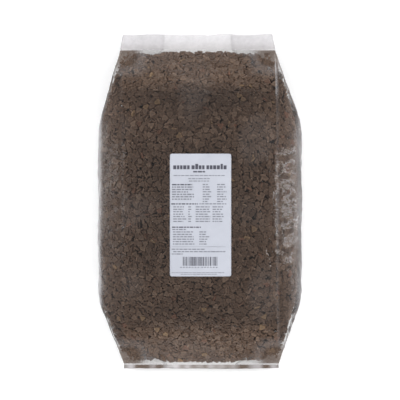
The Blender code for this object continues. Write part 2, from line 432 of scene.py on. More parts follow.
class Hollow:
    """The space inside the film, as grids of distances to the film: positive inside, negative outside.

    Near the two welds, where the bag is thin, the grid is finer.
    """

    PITCH = 0.0045
    FINE_PITCH = 0.0024
    FINE_REACH = 0.075
    MARGIN = 0.010
    RING_STEPS = (36, 9, 28)

    def __init__(self):
        places = bag_stations(0.003, 0.012)
        rings = np.stack([bag_ring(y, *self.RING_STEPS) for y in places])
        rows, columns = rings.shape[:2]
        faces = [tuple(map(int, f)) for f in grid_faces(rows, columns)]
        tree = BVHTree.FromPolygons([tuple(p) for p in rings.reshape(-1, 3)], faces)
        low_split, high_split = BOTTOM_WELD + self.FINE_REACH, TOP_WELD - self.FINE_REACH
        self.splits = (low_split, high_split)
        self.blocks = [
            self.measured(tree, BOTTOM_WELD - self.MARGIN, low_split, self.FINE_PITCH),
            self.measured(tree, low_split, high_split, self.PITCH),
            self.measured(tree, high_split, TOP_WELD + self.MARGIN, self.FINE_PITCH),
        ]

    def measured(self, tree, start, stop, pitch):
        """One grid between two places along the bag: its corner, pitch, distances and slopes."""
        low = np.array([BAG_LOW[0] - self.MARGIN, start - 2 * pitch, -self.MARGIN])
        high = np.array([BAG_HIGH[0] + self.MARGIN, stop + 2 * pitch, BAG_HIGH[2] + self.MARGIN])
        count = np.ceil((high - low) / pitch).astype(int) + 1
        across, along, levels = (low[i] + pitch * np.arange(count[i]) for i in range(3))
        distance = np.full(tuple(count), -self.MARGIN)
        for j, y in enumerate(along):
            inside = self.inside_ring(float(y), across, levels)
            for i, k in self.worth_measuring(inside):
                gap = tree.find_nearest((across[i], y, levels[k]))[3]
                distance[i, j, k] = gap if inside[i, k] else -gap
        return low, pitch, distance, np.stack(np.gradient(distance, pitch), axis=-1)

    def inside_ring(self, y, across, levels):
        """Which points of the plane at y lie inside the bag's section there."""
        if from_weld(y) <= 0:
            return np.zeros((len(across), len(levels)), dtype=bool)
        ring = bag_ring(y, *self.RING_STEPS)
        x0, z0 = ring[:, 0], ring[:, 2]
        x1, z1 = np.roll(x0, -1), np.roll(z0, -1)
        px, pz = across[:, None, None], levels[None, :, None]
        spans = (z0 > pz) != (z1 > pz)
        rise = np.where(z1 == z0, 1e-12, z1 - z0)
        crossing = x0 + (pz - z0) / rise * (x1 - x0)
        return (spans & (px < crossing)).sum(axis=2) % 2 == 1

    @staticmethod
    def worth_measuring(inside):
        """The points inside the section and the ones just outside it."""
        near = inside.copy()
        for shift in (1, 2):
            for axis in (0, 1):
                near |= np.roll(inside, shift, axis) | np.roll(inside, -shift, axis)
        return np.argwhere(near)

    def look_up(self, points):
        """Distance to the film at each point, and the direction in which it grows."""
        gap = np.zeros(len(points))
        slope = np.zeros((len(points), 3))
        which = np.digitize(points[:, 1], self.splits)
        for number, block in enumerate(self.blocks):
            chosen = np.nonzero(which == number)[0]
            gap[chosen], slope[chosen] = self.read(block, points[chosen])
        length = np.linalg.norm(slope, axis=1, keepdims=True)
        return gap, slope / np.maximum(length, 1e-6)

    @staticmethod
    def read(block, points):
        low, pitch, distance, slopes = block
        place = (points - low) / pitch
        cell = np.clip(np.floor(place).astype(int), 0, np.array(distance.shape) - 2)
        part = np.clip(place - cell, 0, 1)
        gap = np.zeros(len(points))
        slope = np.zeros((len(points), 3))
        for corner in np.ndindex(2, 2, 2):
            weight = np.prod(np.where(np.array(corner), part, 1 - part), axis=1)
            at = tuple((cell + corner).T)
            gap += weight * distance[at]
            slope += weight[:, None] * slopes[at]
        return gap, slope


def close_pairs(points, reach):
    """Every pair of points less than reach apart, found cell by cell."""
    cell = np.floor((points - points.min(axis=0)) / reach).astype(np.int64) + 1
    size = cell.max(axis=0) + 2
    key = (cell[:, 0] * size[1] + cell[:, 1]) * size[2] + cell[:, 2]
    order = np.argsort(key, kind="stable")
    sorted_key = key[order]
    firsts, seconds = [], []
    for shift in np.ndindex(3, 3, 3):
        jump = ((shift[0] - 1) * size[1] + shift[1] - 1) * size[2] + shift[2] - 1
        if jump < 0:
            continue
        start = np.searchsorted(sorted_key, key + jump, "left")
        stop = np.searchsorted(sorted_key, key + jump, "right")
        for k in range(int((stop - start).max())):
            mine = np.nonzero(start + k < stop)[0]
            other = order[start[mine] + k]
            if jump == 0:
                keep = other > mine
                mine, other = mine[keep], other[keep]
            gap = points[mine] - points[other]
            keep = np.einsum("ij,ij->i", gap, gap) < reach * reach
            firsts.append(mine[keep])
            seconds.append(other[keep])
    return np.concatenate(firsts), np.concatenate(seconds)


def settle_kibble(hollow, rng):
    """Loose pieces drawn to the film until they lie packed against it: each piece's corners and its size.

    Each is a ball at each corner of a triangle and one in its middle.
    """
    centres, size = scatter_inside(hollow, rng)
    count = len(centres)
    radius = np.repeat(size * KIBBLE_THICKNESS / 2, 3)
    radii = np.concatenate([radius, radius[::3]])
    arm = size * (KIBBLE_SIDE - KIBBLE_THICKNESS)
    corners = (centres[:, None, :] + random_triangles(rng, count) * arm[:, None, None]).reshape(-1, 3)
    owner = np.concatenate([np.repeat(np.arange(count), 3), np.arange(count)])
    first = second = None
    for step in range(SETTLE_STEPS + REST_STEPS):
        start = corners
        balls = np.concatenate([corners, corners.reshape(-1, 3, 3).mean(axis=1)])
        if step % PAIRS_HOLD == 0:
            first, second = close_pairs(balls, 1.5 * KIBBLE_THICKNESS)
            apart = owner[first] != owner[second]
            first, second = first[apart], second[apart]
        moved = push_apart(balls, radii, first, second)
        corners = corners + moved[: 3 * count] + np.repeat(moved[3 * count :], 3, axis=0)
        gap, inward = hollow.look_up(corners)
        short = np.clip(radius + FILM_CLEARANCE + slack(corners) - gap, 0, LONGEST_PUSH)
        pull = PULL if step < SETTLE_STEPS else 0.0
        corners += inward * (short - pull)[:, None]
        near_weld = np.exp(-from_weld(corners[:, 1]) / WELD_PULL_REACH)
        corners[:, 1] += np.sign(corners[:, 1]) * pull * WELD_PULL_SHARE * near_weld
        if step < SETTLE_STEPS:
            shift = (corners - start).reshape(-1, 3, 3)
            mean = shift.mean(axis=1, keepdims=True)
            corners = start + (mean + TURN_SHARE * (shift - mean)).reshape(-1, 3)
        corners = hold_triangles(corners, arm)
    corners = hold_triangles(corners, arm)
    return corners.reshape(count, 3, 3), size


def slack(points):
    """How far the film stands clear of the kibble at each point: only along the bag's two sides."""
    share = smooth((np.abs(points[:, 0]) - 0.150) / 0.030)
    return share * np.where(points[:, 0] > 0, RIGHT_SLACK, LEFT_SLACK)


def scatter_inside(hollow, rng):
    """Uneven places inside the film, no deeper than the loose layer, and the size of the piece at each.

    In the thin wedges by the folded gussets only crumbs fit.
    """
    low, high = np.array(BAG_LOW), np.array(BAG_HIGH)
    axes = [np.arange(low[i], high[i], KIBBLE_SPACING) for i in range(3)]
    grid = np.stack(np.meshgrid(*axes, indexing="ij"), axis=-1).reshape(-1, 3)
    whole = grid + rng.uniform(-SCATTER, SCATTER, grid.shape) * KIBBLE_SPACING
    gap, _ = hollow.look_up(whole)
    inside = from_weld(whole[:, 1])
    least = np.maximum(KIBBLE_THICKNESS * 0.6, slack(whole))
    whole = whole[(gap > least) & (gap < KIBBLE_DEPTH) & (inside > 0.006)]
    crumbs = rng.uniform(low, high, (CRUMB_TRIES, 3))
    gap, _ = hollow.look_up(crumbs)
    inside = from_weld(crumbs[:, 1])
    in_wedge = (np.abs(crumbs[:, 0]) > PANEL_REACH - 0.050) & (inside > 0.004) & (inside < 0.060)
    crumbs = crumbs[in_wedge & (gap > 0.0012) & (gap <= KIBBLE_THICKNESS * 0.6)]
    size = rng.normal(1.0, 0.07, len(whole)).clip(0.82, 1.18)
    return np.concatenate([whole, crumbs]), np.concatenate([size, rng.uniform(0.30, 0.55, len(crumbs))])


def random_triangles(rng, count):
    """Equal-sided triangles of side 1 about the origin, turned at random."""
    first = rng.normal(size=(count, 3))
    first /= np.linalg.norm(first, axis=1, keepdims=True)
    second = np.cross(first, rng.normal(size=(count, 3)))
    second /= np.linalg.norm(second, axis=1, keepdims=True)
    turns = 2 * np.pi * np.arange(3) / 3
    return (first[:, None] * np.cos(turns)[:, None] + second[:, None] * np.sin(turns)[:, None]) / math.sqrt(3)


def push_apart(balls, radii, first, second):
    """How far each ball moves so that each pair that overlaps comes most of the way apart."""
    gap = balls[first] - balls[second]
    length = np.linalg.norm(gap, axis=1)
    overlap = np.maximum(radii[first] + radii[second] - length, 0)
    shift = gap * (PART_SHARE * overlap / np.maximum(length, 1e-6))[:, None]
    moved = np.empty_like(balls)
    for axis in range(3):
        moved[:, axis] = np.bincount(first, shift[:, axis], len(balls))
        moved[:, axis] -= np.bincount(second, shift[:, axis], len(balls))
    return moved.clip(-LONGEST_SHIFT, LONGEST_SHIFT)


def hold_triangles(corners, arm):
    """Brings each piece's three balls back to the right distances from each other."""
    shape = corners.reshape(-1, 3, 3).copy()
    for _ in range(3):
        for a, b in ((0, 1), (1, 2), (2, 0)):
            gap = shape[:, a] - shape[:, b]
            length = np.maximum(np.linalg.norm(gap, axis=1), 1e-6)
            shift = gap * (0.5 * (arm - length) / length)[:, None]
            shape[:, a] += shift
            shape[:, b] -= shift
    return shape.reshape(-1, 3)


def turns_of(corners):
    """Each piece's middle, and the turn, as a quaternion, from a flat triangle to where its corners lie."""
    middle = corners.mean(axis=1)
    first = corners[:, 0] - middle
    first /= np.linalg.norm(first, axis=1, keepdims=True)
    up = np.cross(corners[:, 0] - middle, corners[:, 1] - middle)
    up /= np.linalg.norm(up, axis=1, keepdims=True)
    side = np.cross(up, first)
    m = np.stack([first, side, up], axis=2)
    w = np.sqrt(np.maximum(1 + m[:, 0, 0] + m[:, 1, 1] + m[:, 2, 2], 0)) / 2
    x = np.sqrt(np.maximum(1 + m[:, 0, 0] - m[:, 1, 1] - m[:, 2, 2], 0)) / 2
    y = np.sqrt(np.maximum(1 - m[:, 0, 0] + m[:, 1, 1] - m[:, 2, 2], 0)) / 2
    z = np.sqrt(np.maximum(1 - m[:, 0, 0] - m[:, 1, 1] + m[:, 2, 2], 0)) / 2
    x = np.copysign(x, m[:, 2, 1] - m[:, 1, 2])
    y = np.copysign(y, m[:, 0, 2] - m[:, 2, 0])
    z = np.copysign(z, m[:, 1, 0] - m[:, 0, 1])
    return middle, np.stack([w, x, y, z], axis=1)


# ---- The kibble pieces ----


def kibble_shape(name, rng):
    """One kibble piece: a flat, slightly uneven triangle with blunt corners and a rounded edge; each point
    stores how far out it lies, for a painted highlight along that edge.
    """
    tip = (KIBBLE_SIDE - KIBBLE_THICKNESS) / math.sqrt(3) + KIBBLE_THICKNESS / 2
    outline = []
    for corner in range(3):
        at = 2 * math.pi * corner / 3
        for lean, share in ((-13, 1.0), (13, 1.0), (60, 0.71)):
            turn = at + math.radians(lean + rng.uniform(-4, 4))
            outline.append((turn, tip * share * rng.uniform(0.94, 1.04)))
    thick = KIBBLE_THICKNESS * rng.uniform(0.88, 1.05)
    build = bmesh.new()
    rings = []
    for level, share in ((0.46, 0.80), (0.02, 1.0), (-0.46, 0.82)):
        lean = rng.uniform(-0.03, 0.03, 2) * thick
        rise = rng.uniform(0.90, 1.06, len(outline)) * level * thick
        rings.append(
            [
                build.verts.new((share * r * math.cos(t) + lean[0], share * r * math.sin(t) + lean[1], z))
                for (t, r), z in zip(outline, rise)
            ]
        )
    for upper, lower in zip(rings, rings[1:]):
        for i in range(len(upper)):
            j = (i + 1) % len(upper)
            build.faces.new((upper[i], lower[i], lower[j], upper[j]))
    for ring, level in ((rings[0], 0.50), (rings[-1], -0.50)):
        middle = build.verts.new((0, 0, level * thick * rng.uniform(0.85, 1.1)))
        for i in range(len(ring)):
            build.faces.new((middle, ring[i], ring[(i + 1) % len(ring)]))
    bmesh.ops.recalc_face_normals(build, faces=build.faces)
    mesh = bpy.data.meshes.new(name)
    build.to_mesh(mesh)
    build.free()
    # painted highlight: how far out each point lies, to lighten the piece's colour towards its edge
    reach = np.array([math.hypot(v.co.x, v.co.y) / tip for v in mesh.vertices])
    store(mesh, "rim_highlight", smooth((reach - 0.1) / 0.6))
    mesh.shade_smooth()
    mesh.set_sharp_from_angle(angle=math.radians(38))
    return bpy.data.objects.new(name, mesh)


def new_tree(name, number_input, material_input):
    """A geometry tree with a number and a material as its named inputs: the tree, its inputs and its end."""
    tree = bpy.data.node_groups.new(name, "GeometryNodeTree")
    sockets = (("Geometry", "Geometry"), (number_input, "Float"), (material_input, "Material"))
    for label, kind in sockets:
        tree.interface.new_socket(label, in_out="INPUT", socket_type="NodeSocket" + kind)
    tree.interface.new_socket("Geometry", in_out="OUTPUT", socket_type="NodeSocketGeometry")
    return tree, tree.nodes.new("NodeGroupInput"), tree.nodes.new("NodeGroupOutput")


def stored_value(tree, name, kind):
    """The socket that gives each point's stored value of that name."""
    read = tree.nodes.new("GeometryNodeInputNamedAttribute")
    read.data_type = kind
    read.inputs["Name"].default_value = name
    return read.outputs["Attribute"]


def finish_tree(tree, instances, material, result):
    """Ends a tree: makes its instances real and gives them their material."""
    real = tree.nodes.new("GeometryNodeRealizeInstances")
    paint = tree.nodes.new("GeometryNodeSetMaterial")
    tree.links.new(instances, real.inputs["Geometry"])
    tree.links.new(real.outputs["Geometry"], paint.inputs["Geometry"])
    tree.links.new(material, paint.inputs["Material"])
    tree.links.new(paint.outputs["Geometry"], result.inputs["Geometry"])


def kibble_tree(shapes):
    """Geometry Nodes that put a kibble piece on every point, turned and sized by the point's own values."""
    tree, given, result = new_tree("kibble_on_points", "Kibble Size", "Kibble Finish")
    nodes, links = tree.nodes, tree.links
    variants = nodes.new("GeometryNodeGeometryToInstance")
    for shape in reversed(shapes):
        info = nodes.new("GeometryNodeObjectInfo")
        info.inputs["Object"].default_value = shape
        links.new(info.outputs["Geometry"], variants.inputs["Geometry"])
    place = nodes.new("GeometryNodeInstanceOnPoints")
    place.inputs["Pick Instance"].default_value = True
    links.new(given.outputs["Geometry"], place.inputs["Points"])
    links.new(variants.outputs["Instances"], place.inputs["Instance"])
    links.new(stored_value(tree, "variant", "INT"), place.inputs["Instance Index"])
    links.new(stored_value(tree, "turn", "QUATERNION"), place.inputs["Rotation"])
    scaled = nodes.new("ShaderNodeMath")
    scaled.operation = "MULTIPLY"
    links.new(stored_value(tree, "size", "FLOAT"), scaled.inputs[0])
    links.new(given.outputs["Kibble Size"], scaled.inputs[1])
    links.new(scaled.outputs[0], place.inputs["Scale"])
    finish_tree(tree, place.outputs["Instances"], given.outputs["Kibble Finish"], result)
    return tree


def made_real(name, points_object, tree, values):
    """Runs a tree on an object, with values for its named inputs, and gives back a plain mesh object."""
    modifier = points_object.modifiers.new(tree.name, "NODES")
    modifier.node_group = tree
    for item in tree.interface.items_tree:
        if item.in_out == "INPUT" and item.name in values:
            modifier[item.identifier] = values[item.name]
    graph = bpy.context.evaluated_depsgraph_get()
    mesh = bpy.data.meshes.new_from_object(points_object.evaluated_get(graph))
    points_object.modifiers.clear()
    bpy.data.objects.remove(points_object)
    mesh.name = name
    piece = bpy.data.objects.new(name, mesh)
    bpy.context.scene.collection.objects.link(piece)
    return piece


def kibble_tones(rng, count):
    """Each piece's own shade, and how far it leans to ochre (1) or red-brown (-1)."""
    tone = rng.normal(0.51, 0.19, count).clip(0.02, 0.98)
    warmth = np.zeros(count)
    pick = rng.uniform(size=count)
    warmth[pick < 0.011] = rng.uniform(0.5, 1.0, int((pick < 0.011).sum()))
    red = (pick >= 0.011) & (pick < 0.03)
    warmth[red] = -rng.uniform(0.3, 1.0, int(red.sum()))
    return tone, warmth


def build_kibble(hollow, material):
    """The kibble that lies near the film, in six pieces, and the dark mass of it inside."""
    rng = np.random.default_rng(5)
    corners, size = settle_kibble(hollow, rng)
    middle, turn = turns_of(corners)
    tone, warmth = kibble_tones(rng, len(middle))
    variant = rng.integers(0, SHAPES, len(middle))
    shapes = [kibble_shape(f"kibble_{i}", rng) for i in range(SHAPES)]
    tree = kibble_tree(shapes)
    pieces = []
    for name, chosen in kibble_shares(hollow, middle):
        points = new_mesh_object(name + "_points", middle[chosen], [])
        for value, values in (("size", size), ("tone", tone), ("warmth", warmth)):
            store(points.data, value, values[chosen])
        store(points.data, "variant", variant[chosen], "INT")
        store(points.data, "turn", turn[chosen], "QUATERNION")
        pieces.append(made_real(name, points, tree, {"Kibble Size": DRAWN_SIZE, "Kibble Finish": material}))
    for shape in shapes:
        bpy.data.objects.remove(shape)
    return [*pieces, build_core(material)]


def kibble_shares(hollow, middle):
    """Which kibble goes into each piece of the model, by where it lies. What the film cuts is left out."""
    gap, inward = hollow.look_up(middle)
    keep = gap > LEAST_GAP
    ends = keep & (from_weld(middle[:, 1]) < END_SHARE_REACH)
    front = keep & ~ends & (inward[:, 2] < -0.55)
    below = keep & ~ends & (inward[:, 2] > 0.75)
    head = middle[:, 1] > 0
    return (
        ("kibble_front_head", front & head),
        ("kibble_front_foot", front & ~head),
        ("kibble_sides", keep & ~ends & ~front & ~below),
        ("kibble_ends", ends),
        ("kibble_below_head", below & head),
        ("kibble_below_foot", below & ~head),
    )


def build_core(material):
    """The kibble deep inside, as one dark mass that no light passes: a blunt loaf well clear of the film, in
    the darkest kibble tone as painted shade.
    """
    places = np.linspace(BOTTOM_WELD + CORE_ENDS[0], TOP_WELD - CORE_ENDS[1], 34)
    turns = np.linspace(0, 2 * np.pi, 49)[:-1]
    blunt_x = np.sign(np.cos(turns)) * np.abs(np.cos(turns)) ** CORE_BLUNTNESS
    blunt_z = np.sign(np.sin(turns)) * np.abs(np.sin(turns)) ** CORE_BLUNTNESS
    rows = []
    for y in places:
        open_share = opening(y)
        lobe = crease_reach(y) + (HALF_WIDTH - crease_reach(y)) * open_share
        reach = lobe - GUSSET_DEPTH * (1 - open_share) ** GUSSET_CROWDING - CORE_DEPTH - 0.004
        top, bottom = front_level(reach * 0.8, y) - CORE_DEPTH, back_level(0.0, y) + CORE_DEPTH
        half = np.maximum(top - bottom, 0.004) / 2
        rows.append(np.stack([reach * blunt_x, turns * 0 + y, (top + bottom) / 2 + half * blunt_z], axis=1))
    rows = np.array(rows)
    core = new_mesh_object("kibble_core", rows.reshape(-1, 3), grid_faces(*rows.shape[:2]))
    close_ends(core)
    # painted shade: the whole core takes the darkest kibble tone
    store(core.data, "tone", np.zeros(len(core.data.vertices)))
    core.data.materials.append(material)
    return core


# ---- Finishes ----


class Finish:
    """A material's node tree, with short ways to add and join its nodes."""

    def __init__(self, name):
        self.material = bpy.data.materials.new(name)
        self.material.use_nodes = True
        self.nodes = self.material.node_tree.nodes
        self.links = self.material.node_tree.links
        self.shader = self.nodes["Principled BSDF"]
        self.output = self.nodes["Material Output"]

    def add(self, kind, **values):
        node = self.nodes.new(kind)
        for name, value in values.items():
            setattr(node, name, value)
        return node

    def join(self, source, target):
        self.links.new(source, target)
        return target.node

    def place(self):
        return self.add("ShaderNodeTexCoord").outputs["Object"]

    def value_of(self, attribute):
        return self.add("ShaderNodeAttribute", attribute_name=attribute).outputs["Fac"]

    def noise(self, scale, detail=3.0, roughness=0.55, along=1.0):
        """Cloudy noise in the bag's own space, drawn out along the bag where along is below 1."""
        place = self.add("ShaderNodeMapping")
        place.inputs["Scale"].default_value = (1.0, along, 1.0)
        self.links.new(self.place(), place.inputs["Vector"])
        node = self.add("ShaderNodeTexNoise")
        node.inputs["Scale"].default_value = scale
        node.inputs["Detail"].default_value = detail
        node.inputs["Roughness"].default_value = roughness
        self.links.new(place.outputs["Vector"], node.inputs["Vector"])
        return node.outputs["Fac"]

    def ramp(self, source, stops):
        node = self.add("ShaderNodeValToRGB")
        ramp = node.color_ramp
        while len(ramp.elements) < len(stops):
            ramp.elements.new(0.5)
        for element, (at, colour) in zip(ramp.elements, stops):
            element.position = at
            element.color = (*colour, 1.0)
        self.links.new(source, node.inputs["Fac"])
        return node.outputs["Color"]

    def mix(self, factor, first, second, kind="MIX"):
        node = self.add("ShaderNodeMix", data_type="RGBA", blend_type=kind)
        for index, value in ((0, factor), (6, first), (7, second)):
            if isinstance(value, bpy.types.NodeSocket):
                self.links.new(value, node.inputs[index])
            else:
                node.inputs[index].default_value = (*value, 1.0) if index else value
        return node.outputs[2]

    def maths(self, operation, first, second=0.0, clamp=False):
        node = self.add("ShaderNodeMath", operation=operation, use_clamp=clamp)
        for socket, value in zip(node.inputs, (first, second)):
            if isinstance(value, bpy.types.NodeSocket):
                self.links.new(value, socket)
            else:
                socket.default_value = value
        return node.outputs[0]

    def bump(self, height, distance, strength=1.0, under=None):
        node = self.add("ShaderNodeBump")
        node.inputs["Distance"].default_value = distance
        node.inputs["Strength"].default_value = strength
        self.links.new(height, node.inputs["Height"])
        if under is not None:
            self.links.new(under, node.inputs["Normal"])
        return node.outputs["Normal"]


def kibble_finish():
    """Dry baked kibble: a matt, crumbly, finely pitted brown, each piece a shade of its own, lightened
    towards its edges as a painted highlight.
    """
    finish = Finish("kibble_baked")
    tone = finish.value_of("tone")
    warmth = finish.value_of("warmth")
    browns = [(0.0, (0.088, 0.054, 0.037)), (0.5, (0.127, 0.083, 0.059)), (1.0, (0.203, 0.140, 0.102))]
    shade = finish.ramp(tone, browns)
    ochre = finish.mix(finish.maths("MULTIPLY", warmth, 0.9, True), shade, (0.27, 0.180, 0.105))
    red = finish.maths("MULTIPLY", warmth, -0.5, True)
    colour = finish.mix(red, ochre, (0.22, 0.095, 0.060))
    grains = [(0.3, (0.62, 0.60, 0.58)), (0.62, (1.0, 1.0, 1.0)), (0.8, (1.2, 1.2, 1.18))]
    mottle = finish.ramp(finish.noise(520, 4), grains)
    colour = finish.mix(0.45, colour, mottle, "MULTIPLY")
    # painted highlight: each piece a little darker in its middle and much lighter towards its edge
    rim_highlight = finish.ramp(finish.value_of("rim_highlight"), [(0.35, (0.92, 0.92, 0.92)), (0.95, (1.42, 1.40, 1.38))])
    colour = finish.mix(1.0, colour, rim_highlight, "MULTIPLY")
    finish.join(colour, finish.shader.inputs["Base Color"])
    finish.shader.inputs["Roughness"].default_value = 0.72
    finish.shader.inputs["Specular IOR Level"].default_value = 0.35
    crumbs = finish.bump(finish.noise(900, 3, 0.65), 0.0003, 0.6)
    lumps = finish.bump(finish.noise(260, 2), 0.0006, 0.5, crumbs)
    finish.join(lumps, finish.shader.inputs["Normal"])
    return finish.material


def film_finish():
    """Thin clear glossy film: it mirrors more at a slant, and looks milky where it stands off the kibble."""
    finish = Finish("film_clear")
    finish.nodes.remove(finish.shader)
    clear = finish.add("ShaderNodeBsdfTransparent")
    clear.inputs["Color"].default_value = (0.955, 0.955, 0.952, 1.0)
    gloss = finish.add("ShaderNodeBsdfGlossy")
    gloss.inputs["Color"].default_value = (1.0, 1.0, 1.0, 1.0)
    gloss.inputs["Roughness"].default_value = 0.17
    milk = finish.add("ShaderNodeBsdfDiffuse")
    # the milky part turns brown with the dusty tint, which holds painted shade above the top weld as well
    milky_colour = finish.mix(finish.value_of("dust_and_shade"), (0.84, 0.82, 0.835), (0.19, 0.135, 0.105))
    finish.join(milky_colour, milk.inputs["Color"])
    creases = finish.bump(finish.noise(125, 3, 0.55, 0.35), 0.0014, 0.40)
    dents = finish.bump(finish.noise(420, 2, 0.5, 0.5), 0.0004, 0.10, creases)
    finish.join(dents, gloss.inputs["Normal"])
    fresnel = finish.add("ShaderNodeFresnel")
    fresnel.inputs["IOR"].default_value = 1.42
    finish.join(dents, fresnel.inputs["Normal"])
    mirror = finish.maths("MULTIPLY", fresnel.outputs[0], finish.value_of("shine"), True)
    glossy = finish.add("ShaderNodeMixShader")
    finish.join(mirror, glossy.inputs[0])
    finish.join(clear.outputs[0], glossy.inputs[1])
    finish.join(gloss.outputs[0], glossy.inputs[2])
    cloud = finish.maths("MULTIPLY", finish.noise(60, 3), 0.8)
    haze = finish.maths("MULTIPLY", finish.value_of("haze"), finish.maths("ADD", cloud, 0.55))
    amount = finish.maths("ADD", finish.maths("MULTIPLY", haze, 0.20), 0.006, True)
    milky = finish.add("ShaderNodeMixShader")
    finish.join(amount, milky.inputs[0])
    finish.join(glossy.outputs[0], milky.inputs[1])
    finish.join(milk.outputs[0], milky.inputs[2])
    finish.join(milky.outputs[0], finish.output.inputs["Surface"])
    return finish.material


def paper_finish():
    """Smooth bluish-white label paper with a faint fibre and a satin face."""
    finish = Finish("label_paper")
    cloud = finish.ramp(finish.noise(38, 3), [(0.3, (0.470, 0.485, 0.540)), (0.7, (0.510, 0.525, 0.580))])
    fibre = finish.ramp(finish.noise(1400, 3), [(0.35, (0.97, 0.97, 0.97)), (0.65, (1.02, 1.02, 1.02))])
    colour = finish.mix(1.0, cloud, fibre, "MULTIPLY")
    finish.join(colour, finish.shader.inputs["Base Color"])
    finish.shader.inputs["Roughness"].default_value = 0.48
    finish.shader.inputs["Specular IOR Level"].default_value = 0.4
    finish.join(finish.bump(finish.noise(900, 2), 0.00008, 0.5), finish.shader.inputs["Normal"])
    return finish.material


def ink_finish(name, colour):
    """Printed ink, very slightly uneven."""
    finish = Finish(name)
    low = tuple(0.85 * c for c in colour)
    high = tuple(1.15 * c for c in colour)
    shade = finish.ramp(finish.noise(700, 2), [(0.35, low), (0.65, high)])
    finish.join(shade, finish.shader.inputs["Base Color"])
    finish.shader.inputs["Roughness"].default_value = 0.5
    return finish.material


def floor_finish():
    finish = Finish("studio_floor")
    colour = finish.ramp(finish.noise(3, 2), [(0.3, (0.86, 0.86, 0.86)), (0.7, (0.88, 0.88, 0.88))])
    finish.join(colour, finish.shader.inputs["Base Color"])
    finish.shader.inputs["Roughness"].default_value = 0.7
    finish.shader.inputs["Emission Color"].default_value = (1.0, 1.0, 1.0, 1.0)
    finish.shader.inputs["Emission Strength"].default_value = 0.28
    return finish.material


# ---- The label ----

LABEL_GROWTH = 1.03
LABEL_SHIFT = 0.0018
LABEL_MIDDLE = ((LABEL_LOW[0] + LABEL_HIGH[0]) / 2, (LABEL_LOW[1] + LABEL_HIGH[1]) / 2 - LABEL_SHIFT)
LABEL_WIDTH = LABEL_GROWTH * (LABEL_HIGH[0] - LABEL_LOW[0])
LABEL_LENGTH = LABEL_GROWTH * (LABEL_HIGH[1] - LABEL_LOW[1])
LABEL_CORNER = 0.0035
LABEL_THICKNESS = 0.00018
LABEL_LIFT = 0.0010
INK_THICKNESS = 0.00012
INK_LIFT = 0.00004


def label_level(x, y):
    """Height of the label's face: it follows the front panel and ripples a little."""
    ripples = 0.00022 * np.sin(x * 71 + 1.3 * np.sin(y * 38)) + 0.00018 * np.sin(y * 83 + x * 25)
    return front_level(x, y) + LABEL_LIFT + ripples


def build_label(material):
    """The paper label, with round corners, lying on the film."""
    straight = LABEL_LENGTH / 2 - LABEL_CORNER
    arc = np.linspace(0, np.pi / 2, 7)
    half = LABEL_WIDTH / 2
    rows = [(straight + LABEL_CORNER * math.sin(a), half - LABEL_CORNER * (1 - math.cos(a))) for a in arc]
    body = [(v, half) for v in np.linspace(straight, -straight, 62)[1:-1]]
    rows = rows[::-1] + body + [(-v, width) for v, width in rows]
    shares = np.linspace(-1, 1, 41)
    points, faces = [], []
    for v, width in rows:
        for share in shares:
            x, y = LABEL_MIDDLE[0] + width * share, LABEL_MIDDLE[1] + v
            points.append((x, y, float(label_level(x, y))))
    columns = len(shares)
    for r in range(len(rows) - 1):
        for c in range(columns - 1):
            here = r * columns + c
            faces.append((here, here + columns, here + columns + 1, here + 1))
    label = new_mesh_object("label_sheet", points, faces)
    paper = label.modifiers.new("paper", "SOLIDIFY")
    paper.thickness = LABEL_THICKNESS
    paper.offset = -1.0
    label.data.materials.append(material)
    label.data.shade_smooth()
    return label


class Print:
    """Marks on the label, as (left, top, width, height) in shares of the label's width and length."""

    def __init__(self):
        self.marks = []

    def block(self, left, top, width, height):
        self.marks.append((left, top, width, height))

    def words(self, rng, left, right, top, height, gap=0.012, shortest=0.02, longest=0.075):
        """A line of type, as a row of plain dashes."""
        at = left
        while at < right - shortest / 2:
            width = min(rng.uniform(shortest, longest), right - at)
            self.block(at, top, width, height)
            at += width + gap


def label_print():
    """The label's print, top to bottom: the bold marks, and the fine marks."""
    rng = np.random.default_rng(23)
    bold, fine = Print(), Print()
    title_line(bold, rng)
    bold.words(rng, 0.38, 0.575, 0.141, 0.012, 0.010, 0.04, 0.07)
    fine.words(rng, 0.06, 0.895, 0.175, 0.0065)
    fine.words(rng, 0.30, 0.65, 0.200, 0.0070)
    fine.words(rng, 0.31, 0.64, 0.2195, 0.0070)
    pitch = 0.0197
    for row in range(8):
        top = 0.247 + pitch * row
        heavy = bold if row == 0 else fine
        if row < 7:
            heavy.words(rng, 0.035, rng.uniform(0.30, 0.46), top, 0.0105)
        fine.words(rng, 0.535, rng.uniform(0.60, 0.68), top, 0.0088)
        fine.words(rng, 0.77, rng.uniform(0.86, 0.95), top, 0.0088)
    bold.words(rng, 0.02, 0.455, 0.4045, 0.0095)
    fine.words(rng, 0.48, 0.92, 0.4045, 0.0084)
    for row in range(7):
        top = 0.429 + pitch * row
        for left, right in ((0.055, 0.27), (0.30, 0.38), (0.42, 0.665), (0.695, 0.88)):
            fine.words(rng, left, right - rng.uniform(0, 0.06), top, 0.0088)
    bold.words(rng, 0.035, 0.505, 0.594, 0.0095)
    fine.words(rng, 0.04, 0.26, 0.613, 0.0088)
    for row in range(6):
        top = 0.633 + pitch * row
        fine.words(rng, 0.05, 0.46 - rng.uniform(0, 0.12), top, 0.0088)
        fine.words(rng, 0.48, 0.65 - rng.uniform(0, 0.08), top, 0.0088)
    fine.block(0.03, 0.757, 0.875, 0.0018)
    fine.words(rng, 0.03, 0.58, 0.774, 0.0084)
    fine.words(rng, 0.055, 0.905, 0.794, 0.0084)
    fine.words(rng, 0.03, 0.21, 0.813, 0.0084)
    stripes(bold, rng, 0.212, 0.775, 0.840, 0.073)
    for i in range(13):
        bold.block(0.17 + 0.0475 * i + (0.012 if i > 6 else 0), 0.9225, 0.022, 0.0060)
    fine.words(rng, 0.03, 0.905, 0.9670, 0.0050)
    fine.words(rng, 0.18, 0.770, 0.9800, 0.0050)
    return bold.marks, fine.marks


